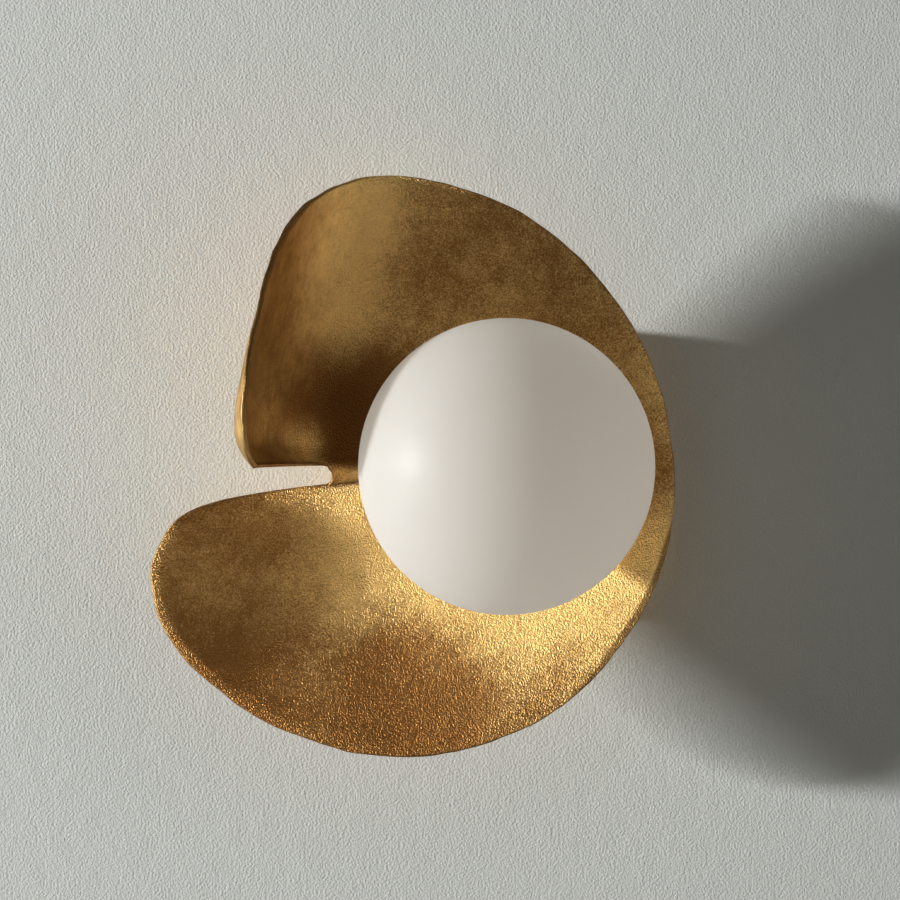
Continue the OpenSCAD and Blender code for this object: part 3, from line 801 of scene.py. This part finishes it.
def spun_brass(name, gold, brown, ring, rough):
    made, tree, shader = material(name, Metallic=1.0)
    place = own_place(tree)
    turned_lines = rings(tree, place, ring, 2.0)
    cloud = noise(tree, place, 0.022, 3.0, 0.6, 3.0)
    speck = noise(tree, place, 0.0012, 2.0, 0.6, 8.0)
    gold_share = tree.smooth(cloud * 0.6 + turned_lines * 0.25 + speck * 0.15, 0.38, 0.66)
    colour = tree.blend(gold_share, brown, gold)
    gloss = tree.smooth(turned_lines * 0.6 + cloud * 0.4, 0.3, 0.7, rough + 0.09, rough - 0.06)
    normal = bump(tree, turned_lines + speck * 0.4, LATHE_DEPTH, 0.6)
    finish_with(tree, shader, Base_Color=colour, Roughness=gloss, Normal=normal)
    return made


def zinc_plate(name, base, shade):
    made, tree, shader = material(name, Metallic=1.0)
    place = own_place(tree)
    cloud = noise(tree, place, 0.012, 4.0, 0.6, 1.0)
    cells = {"Vector": place, "Scale": CRYSTALS_PER_METRE}
    crystals = tree.add("ShaderNodeTexVoronoi", {"feature": "F1"}, cells, "Distance")
    rolled = noise(tree, stretched(tree, place, (0.05, 1.0, 1.0)), 0.0007, 2.0, 0.5, 5.0)
    tone = tree.smooth(cloud * 0.7 + crystals * 0.3, 0.3, 0.65)
    colour = tree.blend(tone, shade, base)
    gloss = tree.smooth(cloud * 0.5 + rolled * 0.5, 0.3, 0.7, 0.30, 0.46)
    normal = bump(tree, rolled * 0.6 + crystals * 0.4, ZINC_DEPTH, 0.5)
    finish_with(tree, shader, Base_Color=colour, Roughness=gloss, Normal=normal)
    return made


CANOPY_BRASS = spun_brass("spun_brass", (0.80, 0.57, 0.24, 1), (0.50, 0.31, 0.10, 1), 0.0009, 0.34)
TURNED_BRASS = spun_brass("turned_brass", (0.86, 0.66, 0.33, 1), (0.72, 0.51, 0.22, 1), 0.0003, 0.26)
ZINC = zinc_plate("zinc_plate", (0.74, 0.75, 0.77, 1), (0.60, 0.61, 0.63, 1))
GREEN_STEEL = zinc_plate("green_steel", (0.16, 0.46, 0.20, 1), (0.08, 0.30, 0.12, 1))
BRONZE = zinc_plate("contact_bronze", (0.86, 0.66, 0.38, 1), (0.70, 0.50, 0.26, 1))
BRIGHT_PIN = zinc_plate("bright_pin", (0.80, 0.80, 0.80, 1), (0.70, 0.70, 0.70, 1))
print("metals ready")

# %% [markdown]
# ## Ceramic, rubber, plastic and glass
# These differ in how light enters them more than in pattern, so one recipe serves all: a base
# colour with faint clouds, a fine skin for the bump, and its own roughness.

# %%
SKIN_DEPTH = 0.06 * MM


def moulded(name, light, dark, rough, skin=0.6 * MM, **constants):
    made, tree, shader = material(name, **constants)
    place = own_place(tree)
    cloud = noise(tree, place, 0.008, 3.0, 0.6, 1.0)
    fine = noise(tree, place, skin, 2.0, 0.6, 2.0)
    colour = tree.blend(tree.smooth(cloud, 0.3, 0.7), dark, light)
    gloss = tree.smooth(fine * 0.5 + cloud * 0.5, 0.3, 0.7, rough - 0.05, rough + 0.05)
    normal = bump(tree, fine, SKIN_DEPTH, 0.6)
    finish_with(tree, shader, Base_Color=colour, Roughness=gloss, Normal=normal)
    return made


GLAZE = moulded(
    "white_glaze", (0.88, 0.86, 0.80, 1), (0.83, 0.81, 0.75, 1), 0.18, 4 * MM, Coat_Weight=0.5
)
RUBBER = moulded("gasket_rubber", (0.74, 0.73, 0.69, 1), (0.66, 0.65, 0.61, 1), 0.70)
BUSHING = moulded("bushing_plastic", (0.84, 0.82, 0.76, 1), (0.78, 0.76, 0.70, 1), 0.45)
CONNECTOR = moulded("connector_plastic", (0.80, 0.36, 0.08, 1), (0.70, 0.29, 0.06, 1), 0.42)
BROWN_WIRE = moulded("brown_insulation", (0.26, 0.12, 0.06, 1), (0.20, 0.09, 0.045, 1), 0.38)
WHITE_WIRE = moulded("white_insulation", (0.84, 0.84, 0.81, 1), (0.76, 0.76, 0.73, 1), 0.38)
GREEN_WIRE = moulded("green_insulation", (0.16, 0.46, 0.13, 1), (0.11, 0.36, 0.09, 1), 0.38)
BULB_GLASS = moulded("frosted_glass", (0.93, 0.93, 0.91, 1), (0.90, 0.90, 0.88, 1), 0.45, Alpha=0.5)
PHOSPHOR = moulded("yellow_phosphor", (0.90, 0.78, 0.25, 1), (0.84, 0.70, 0.20, 1), 0.55)
print("other finishes ready")

# %% [markdown]
# ## Softened edges on stamped and cut parts
# A stamped edge is never a perfect corner: it has a small round that catches a thin line of light.
# The Bevel tool makes it on a welded copy. Triangles in one plane are dissolved first, or the bevel
# would cut along the seams between them.

# %%
FLAT = math.radians(1.5)
CUT_CORNER = math.radians(35)


def softened(node, finish, width, sharp=25):
    """A copy of a node with small rounds on its corners, standing for that node."""
    mesh = merged(node)
    bmesh.ops.dissolve_limit(mesh, angle_limit=FLAT, verts=mesh.verts, edges=mesh.edges)
    shared = [edge for edge in mesh.edges if len(edge.link_faces) == 2]
    bmesh.ops.bevel(
        mesh,
        geom=[edge for edge in shared if edge.calc_face_angle() > CUT_CORNER],
        offset=width,
        offset_type="OFFSET",
        segments=2,
        profile=0.5,
        affect="EDGES",
        clamp_overlap=True,
    )
    bmesh.ops.triangulate(mesh, faces=[face for face in mesh.faces if len(face.verts) > 4])
    stand_in(finished(node + "_soft", mesh, sharp), node, finish)


for node, finish, round_width in (
    ("wall_strap", ZINC, 0.18 * MM),
    ("nipple_rear_nut", TURNED_BRASS, 0.25 * MM),
    ("nipple_front_nut", TURNED_BRASS, 0.25 * MM),
    ("glass_holder", CANOPY_BRASS, 0.2 * MM),
    ("ground_screw", GREEN_STEEL, 0.2 * MM),
    ("lamp_bracket", ZINC, 0.12 * MM),
):
    softened(node, finish, round_width)

# %% [markdown]
# ## Threads
# The hollow nipple clamps bracket, leaf and canopy together with two nuts, and the canopy screws
# bite into the strap's tabs. A thread is one ridge that climbs a helix, so a tree draws it: a spiral
# curve with a four-sided profile, as long as the thread and as steep as its pitch.

# %%
THREAD = {
    "Radius": 5 * MM,
    "Pitch": 1 * MM,
    "Length": 15 * MM,
    "Start": 0.0,
    "Finish": None,
}
UPRIGHT_TO_Y = (math.radians(-90), 0.0, 0.0)
RIDGE_SHARE = 0.42
STEPS_ROUND = 28


def put(tree, mesh, where, turn=(0.0, 0.0, 0.0)):
    """The mesh turned and moved."""
    place = {"Geometry": mesh, "Translation": where, "Rotation": turn}
    return tree.add("GeometryNodeTransform", None, place)


def ridge(tree, size):
    """A helical ridge round the Y axis, from Start on."""
    depth = size["Pitch"] * RIDGE_SHARE
    length = size["Length"] - depth * 2
    radius = size["Radius"] - depth
    helix = {
        "Resolution": STEPS_ROUND,
        "Rotations": length / size["Pitch"],
        "Start Radius": radius,
        "End Radius": radius,
        "Height": length,
    }
    spiral = tree.add("GeometryNodeCurveSpiral", None, helix)
    level = tree.add("GeometryNodeSetCurveNormal", {"mode": "Z_UP"}, {"Curve": spiral})
    profile = tree.add("GeometryNodeCurvePrimitiveCircle", None, {"Resolution": 4, "Radius": depth})
    sweep = {"Curve": level, "Profile Curve": profile, "Fill Caps": True}
    swept = tree.add("GeometryNodeCurveToMesh", None, sweep)
    return put(tree, swept, tree.join(0.0, size["Start"] + depth, 0.0), UPRIGHT_TO_Y)


def joined(tree, *meshes):
    node = tree.tree.nodes.new("GeometryNodeJoinGeometry")
    for mesh in meshes:
        tree.tree.links.new(mesh.output, node.inputs[0])
    return Socket(tree.tree, node.outputs[0])


def threaded_rod():
    tree, size = node_group("threaded_rod", THREAD)
    return end_group(tree, joined(tree, size["Mesh"], ridge(tree, size)), size["Finish"])


low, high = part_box("lamp_nipple")
NIPPLE_R = high.x
NIPPLE_PITCH = 1.0 * MM
NIPPLE_CORE = NIPPLE_R - 0.8 * NIPPLE_PITCH
NIPPLE_BORE = 3.6 * MM
tube = [(NIPPLE_BORE, low.y), (NIPPLE_CORE, low.y), (NIPPLE_CORE, high.y), (NIPPLE_BORE, high.y)]
nipple_sizes = {
    "Radius": NIPPLE_R,
    "Pitch": NIPPLE_PITCH,
    "Length": high.y - low.y,
    "Start": low.y,
    "Finish": TURNED_BRASS,
}
nipple = grow(turned("nipple_core", tube, steps=48), threaded_rod(), nipple_sizes, "threaded_nipple")
stand_in(nipple, "lamp_nipple", TURNED_BRASS)

# %% [markdown]
# ## The two canopy screws
# Round heads with a slot hold the canopy at top and bottom. The tree takes one turned screw, cuts
# its slot with a Mesh Boolean node, adds the ridge, and sets it out twice, half a turn apart. Making
# two by hand would double the work, and a later change would have to be made twice.

# %%
QUARTER = math.radians(90)
low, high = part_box("canopy_screws")
HEAD_R = high.x
HEAD_TOP = high.z
HEAD_BASE = HEAD_TOP - 3.0 * MM
SHANK_R = 2.0 * MM
SHANK_END = HEAD_BASE - 5.8 * MM
SCREW_Y = (low.y + high.y) / 2
HEAD = {
    "Slot width": 1.0 * MM,
    "Slot depth": 1.4 * MM,
    "Head radius": HEAD_R,
    "Head top": HEAD_TOP,
    "Depth from wall": SCREW_Y,
}


def set_out(tree, piece, count, where, turn, chosen=True):
    """A row of copies of one piece, each with its own turn."""
    points = tree.add("GeometryNodePoints", None, {"Count": count, "Position": where})
    copies = {"Points": points, "Selection": chosen, "Instance": piece, "Rotation": turn}
    return tree.add("GeometryNodeInstanceOnPoints", None, copies)


def slotted_screws():
    tree, size = node_group("slotted_screws", dict(THREAD, **HEAD))
    slot = tree.join(size["Head radius"] * 2.4, size["Slot depth"] * 2, size["Slot width"])
    cutter = tree.add("GeometryNodeMeshCube", None, {"Size": slot})
    placed = put(tree, cutter, tree.join(0.0, size["Head top"], 0.0))
    cut = tree.add(
        "GeometryNodeMeshBoolean",
        {"operation": "DIFFERENCE"},
        {"Mesh 1": size["Mesh"], "Mesh 2": placed},
    )
    one = joined(tree, cut, ridge(tree, size))
    number = tree.add("GeometryNodeInputIndex")
    turn = tree.join(QUARTER - number * math.pi, 0.0, 0.0)
    both = set_out(tree, one, 2, tree.join(0.0, size["Depth from wall"], 0.0), turn)
    return end_group(tree, both, size["Finish"])


print("screw head:", round(HEAD_R * 2000, 1), "mm wide")

# %% [markdown]
# ## Turning one screw
# The outline starts at the thin end, goes up the core of the thread and round the domed head. The
# core is thinner than the thread, because the ridge is laid round it.

# %%
DOME_R = 6.4 * MM
CORE_SHARE = 0.72
HEAD_EDGE = 1.1 * MM
dome = arc((0, HEAD_TOP - DOME_R), DOME_R, 62, 90, 6)
core = SHANK_R * CORE_SHARE
screw_outline = [(0, SHANK_END), (core, SHANK_END), (core, HEAD_BASE), (HEAD_R, HEAD_BASE)]
screw_outline += [(HEAD_R, HEAD_TOP - HEAD_EDGE)]
screw_outline += [(min(r, HEAD_R * 0.93), y) for r, y in dome]
screw_body = turned("screw_body", screw_outline, steps=40, closed=False)
screw_sizes = {
    "Radius": SHANK_R,
    "Pitch": 0.7 * MM,
    "Length": HEAD_BASE - SHANK_END,
    "Start": SHANK_END,
    "Finish": CANOPY_BRASS,
}
screws = grow(screw_body, slotted_screws(), screw_sizes, "slotted_screws")
stand_in(screws, "canopy_screws", CANOPY_BRASS)

# %% [markdown]
# ## Ribs and teeth round an axis
# The wire connectors have finger ribs, and the lock washer has bent teeth. Both are the same rule:
# one small bar, repeated round an axis, with a lean. One tree serves both, with the bar's size, the
# ring's radius and the lean as its inputs.

# %%
ROUND = {
    "Count": 12,
    "Ring radius": 4 * MM,
    "Bar": (0.6 * MM, 4 * MM, 0.6 * MM),
    "Along": 0.0,
    "Slope": 0.0,
    "Twist": 0.0,
    "Finish": None,
}


def bars_round(tree, size):
    """Bars on a ring round the Y axis, each turned to face outwards."""
    bar = tree.add("GeometryNodeMeshCube", None, {"Size": size["Bar"]})
    number = tree.add("GeometryNodeInputIndex")
    angle = number * (2 * math.pi / size["Count"])
    cosine = angle.sum("COSINE", angle)
    sine = angle.sum("SINE", angle)
    where = tree.join(cosine * size["Ring radius"], size["Along"], sine * size["Ring radius"])
    leaning = tree.join(size["Twist"], 0.0, size["Slope"])
    lean = tree.add("FunctionNodeEulerToRotation", None, {0: leaning})
    facing = tree.add("FunctionNodeEulerToRotation", None, {0: tree.join(0.0, angle * -1, 0.0)})
    order = {"rotation_space": "LOCAL"}
    turn = tree.add("FunctionNodeRotateRotation", order, {0: facing, 1: lean})
    return set_out(tree, bar, size["Count"], where, turn)


def toothed_ring():
    tree, size = node_group("toothed_ring", ROUND)
    return end_group(tree, joined(tree, size["Mesh"], bars_round(tree, size)), size["Finish"])


low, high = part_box("nipple_lock_washer")
WASHER_R = high.x
WASHER_HOLE = 5.4 * MM
WASHER_Y = (low.y + high.y) / 2
HALF_PLATE = 0.22 * MM
TOOTH = 1.6 * MM
PLATE_R = WASHER_R - 1.3 * MM
front, back = WASHER_Y - HALF_PLATE, WASHER_Y + HALF_PLATE
plate = [(WASHER_HOLE, front), (PLATE_R, front), (PLATE_R, back), (WASHER_HOLE, back)]
washer_sizes = {
    "Count": 14,
    "Ring radius": WASHER_R - 0.85 * MM,
    "Bar": (TOOTH, 0.35 * MM, TOOTH),
    "Along": WASHER_Y,
    "Twist": math.radians(11),
    "Finish": ZINC,
}
washer = grow(turned("washer_ring", plate, steps=60), toothed_ring(), washer_sizes, "toothed_washer")
stand_in(washer, "nipple_lock_washer", ZINC)

# %% [markdown]
# ## Wire connectors
# A twist-on connector is a cone of soft plastic with a wide mouth, a tapering bore and ribs for the
# fingers. The cone is turned with its bore in one outline, the bar ring gives it ribs, and the tree
# sets it out at three of four corners, because the fourth is left free for the supply wires.

# %%
low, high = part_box("wire_connectors")
DIAGONAL = math.sqrt(2)
MOUTH_R = 5.3 * MM
END_R = 3.8 * MM
CONNECTOR_LENGTH = 17 * MM
CONNECTOR_Y = (low.y + high.y) / 2
CONNECTOR_START = high.x * DIAGONAL - CONNECTOR_LENGTH - END_R
RIB = 0.5 * MM
SPREAD = {
    "Start": CONNECTOR_START,
    "Depth from wall": CONNECTOR_Y,
    "Left free": 1,
}


def ribbed_connectors():
    tree, size = node_group("ribbed_connectors", dict(ROUND, **SPREAD))
    one = joined(tree, size["Mesh"], bars_round(tree, size))
    outward = put(tree, one, tree.join(size["Start"], 0.0, 0.0), (0.0, 0.0, -QUARTER))
    number = tree.add("GeometryNodeInputIndex")
    used = tree.add(
        "FunctionNodeCompare",
        {"data_type": "INT", "operation": "NOT_EQUAL"},
        {"A": number, "B": size["Left free"]},
    )
    turn = tree.join(0.0, -QUARTER / 2 - number * QUARTER, 0.0)
    where = tree.join(0.0, size["Depth from wall"], 0.0)
    three = set_out(tree, outward, 4, where, turn, used)
    return end_group(tree, three, size["Finish"])


cone = [
    (0.0, 10.5 * MM),
    (1.3 * MM, 10.5 * MM),
    (4.3 * MM, 0.25 * MM),
    (4.55 * MM, 0.0),
    (MOUTH_R - RIB * 0.6, 0.0),
    (MOUTH_R - RIB * 0.4, 0.3 * MM),
    (MOUTH_R - RIB * 0.45, 1.6 * MM),
    (MOUTH_R - RIB * 0.9, 2.2 * MM),
    (END_R - RIB * 0.9, CONNECTOR_LENGTH - 0.9 * MM),
    (END_R - RIB * 1.6, CONNECTOR_LENGTH - 0.2 * MM),
    (END_R - RIB * 2.4, CONNECTOR_LENGTH),
    (0.0, CONNECTOR_LENGTH),
]
connector_body = turned("connector_body", cone, steps=48, closed=False)
connector_sizes = {
    "Count": 14,
    "Ring radius": (MOUTH_R + END_R) / 2 - RIB,
    "Bar": (RIB * 1.6, CONNECTOR_LENGTH * 0.74, RIB * 1.2),
    "Along": CONNECTOR_LENGTH * 0.52,
    "Slope": math.atan((MOUTH_R - END_R) / CONNECTOR_LENGTH),
    "Finish": CONNECTOR,
}
connectors = grow(connector_body, ribbed_connectors(), connector_sizes, "ribbed_connectors")
stand_in(connectors, "wire_connectors", CONNECTOR)

# %% [markdown]
# ## Leads
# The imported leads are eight-sided sweeps along the real routes. Subdivision turns the eight sides
# into a round, and keeps the route.

# %%
LEAD = {
    "Rounding": 2,
    "Finish": None,
}


def round_lead():
    tree, size = node_group("round_lead", LEAD)
    rounding = {"Mesh": size["Mesh"], "Level": size["Rounding"]}
    rounded = tree.add("GeometryNodeSubdivisionSurface", None, rounding)
    smooth = tree.add("GeometryNodeSetShadeSmooth", None, {"Geometry": rounded, "Shade Smooth": True})
    return end_group(tree, smooth, size["Finish"])


LEAD_TREE = round_lead()
for node, finish in (
    ("live_lead", BROWN_WIRE),
    ("neutral_lead", WHITE_WIRE),
    ("ground_lead", GREEN_WIRE),
):
    drawn = welded_copy(node, node + "_drawn")
    lead = grow(drawn, LEAD_TREE, {"Finish": finish}, node + "_round")
    stand_in(lead, node, finish)

# %% [markdown]
# ## Parts whose shape is already right
# The canopy, the gasket and everything inside the globe keep their imported meshes, and only get their
# finish. Their loose triangles are left alone, because the imported model already carries their
# normals.

# %%
for node, finish in (
    ("canopy", CANOPY_BRASS),
    ("globe_gasket", RUBBER),
    ("nipple_bushing", BUSHING),
    ("lampholder", GLAZE),
    ("lampholder_contacts", BRONZE),
    ("lampholder_screws", ZINC),
    ("ground_terminal", ZINC),
    ("bulb_foot", GLAZE),
    ("bulb_pins", BRIGHT_PIN),
    ("bulb_capsule", BULB_GLASS),
    ("bulb_light_bar", PHOSPHOR),
):
    dress(node, finish)

# %% [markdown]
# ## Wall and floor
# The lamp needs a wall, or its long shadow has nowhere to fall. The wall is a pale plane with a fine
# plaster bump. Seen from behind it turns clear and throws no shadow, so that the lamp's back can be
# looked at. To the camera both planes are paler than to the light that bounces off them: Light
# Path's Is Camera Ray tells the two apart, so the background is pale without more light on the lamp.

# %%
PLASTER_DEPTH = 0.36 * MM


def sheet_of(name, corners, finish):
    """A flat sheet of the stage from its four corners."""
    data = bpy.data.meshes.new(name)
    data.from_pydata(corners, [], [(0, 1, 2, 3)])
    data.materials.append(finish)
    made = bpy.data.objects.new(name, data)
    scene.collection.objects.link(made)
    return made


def plaster():
    made, tree, shader = material("wall_plaster", Roughness=0.9, Specular_IOR_Level=0.1)
    place = own_place(tree)
    cloud = noise(tree, place, 0.25, 3.0, 0.5, 1.0)
    own = tree.blend(cloud, (0.72, 0.725, 0.68, 1), (0.76, 0.765, 0.72, 1))
    shown = tree.blend(cloud, (1.06, 1.10, 1.05, 1), (1.14, 1.18, 1.13, 1))
    seen = tree.add("ShaderNodeLightPath", None, None, "Is Camera Ray")
    peel = noise(tree, place, 0.0011, 1.0, 0.5, 2.0)
    broad = noise(tree, place, 0.012, 2.0, 0.5, 3.0)
    normal = bump(tree, peel + broad * 0.7, PLASTER_DEPTH, 0.6)
    finish_with(tree, shader, Base_Color=tree.blend(seen, own, shown), Normal=normal)
    behind = tree.add("ShaderNodeNewGeometry", None, None, "Backfacing")
    clear = tree.add("ShaderNodeBsdfTransparent")
    show_mixed(tree, behind, shader, clear)
    return made


FLOOR_SEEN = (0.60, 0.605, 0.59, 1)
SEEN_SHARE = 0.85


def floor_finish():
    made, tree, shader = material("pale_floor", Roughness=0.8, Specular_IOR_Level=0.1)
    place = own_place(tree)
    cloud = noise(tree, place, 0.6, 3.0, 0.5, 4.0)
    own = tree.blend(cloud, (0.74, 0.74, 0.72, 1), (0.80, 0.80, 0.78, 1))
    finish_with(tree, shader, Base_Color=own)
    seen = tree.add("ShaderNodeLightPath", None, None, "Is Camera Ray")
    pale = tree.add("ShaderNodeEmission", None, {"Color": FLOOR_SEEN, "Strength": 1.0})
    show_mixed(tree, seen * SEEN_SHARE, shader, pale)
    return made


WALL_SIDE = 3.0
FLOOR_Z = -1.15
FLOOR_SIDE = 9.0
CORNERS = ((-1, -1), (1, -1), (1, 1), (-1, 1))
wall_corners = [(x * WALL_SIDE, 0, z * WALL_SIDE) for x, z in CORNERS]
floor_corners = [(x * FLOOR_SIDE, y * FLOOR_SIDE, FLOOR_Z) for x, y in CORNERS]
wall = sheet_of("wall", wall_corners, plaster())
wall.visible_shadow = False
floor = sheet_of("floor", floor_corners, floor_finish())
floor.visible_diffuse = False
print("wall and floor ready")

# %% [markdown]
# ## The lamps
# In the photograph one window, far to the left and almost in line with the wall, draws the grain
# and throws the long shadow. An elliptic area lamp, wider than it is tall, stands for it, because
# the shadow is soft sideways and firmer at its upper border. A weak warm panel on the right gives
# the light that a room sends back, and a weak lamp behind shows the fixture's back.

# %%
AIM = Vector((0, -0.05, 0))


def area_lamp(name, direction, away, width, power, colour=(1, 1, 1), shape="DISK", tall=None):
    """An area lamp at a distance from the object, aimed at it."""
    light = bpy.data.lights.new(name, "AREA")
    light.shape = shape
    light.size = width
    if tall is not None:
        light.size_y = tall
    light.energy = power
    light.color = colour
    made = bpy.data.objects.new(name, light)
    toward = Vector(direction).normalized()
    made.location = toward * away + AIM
    made.rotation_euler = toward.to_track_quat("Z", "Y").to_euler()
    scene.collection.objects.link(made)
    print(name, "lamp:", power, "W from", away, "m")


WINDOW_LIGHT = (1.0, 0.995, 0.985)
ROOM_LIGHT = (1.0, 0.95, 0.87)
area_lamp("window", (-0.976, -0.208, 0.06), 3.6, 0.33, 196, WINDOW_LIGHT, "ELLIPSE", 0.15)
area_lamp("panel", (0.95, -0.24, -0.20), 1.5, 1.1, 4.6, ROOM_LIGHT, "RECTANGLE", 1.5)
area_lamp("rear_fill", (0.2, 0.9, 0.4), 2.2, 1.4, 8)

# %% [markdown]
# ## The room around
# The world has three levels: pale to the camera, as a studio backdrop is, dim in the metal's
# reflections, and nearly dark as fill, because the shadow side of the leaf is nearly dark in the
# photograph too. One even grey would wash out the fold, which is drawn by that darkness.

# %%
ROOM = (0.022, 0.022, 0.022, 1)
MIRRORED = (0.10, 0.10, 0.096, 1)
PALE = (0.62, 0.625, 0.61, 1)
sky = bpy.data.worlds.new("studio")
scene.world = sky
sky.use_nodes = True
sky_tree = Tree(sky.node_tree)
glossy = sky_tree.add("ShaderNodeLightPath", None, None, "Is Glossy Ray")
seen = sky_tree.add("ShaderNodeLightPath", None, None, "Is Camera Ray")
level = sky_tree.blend(seen, sky_tree.blend(glossy, ROOM, MIRRORED), PALE)
background = sky.node_tree.nodes["Background"]
plug(sky.node_tree, level, background.inputs["Color"])
background.inputs["Strength"].default_value = 1.0
scene.view_settings.view_transform = "Standard"
print("fill level of the room:", ROOM[0])

# %% [markdown]
# ## The last update
# The view layer is brought up to date once more.

# %%
bpy.context.view_layer.update()
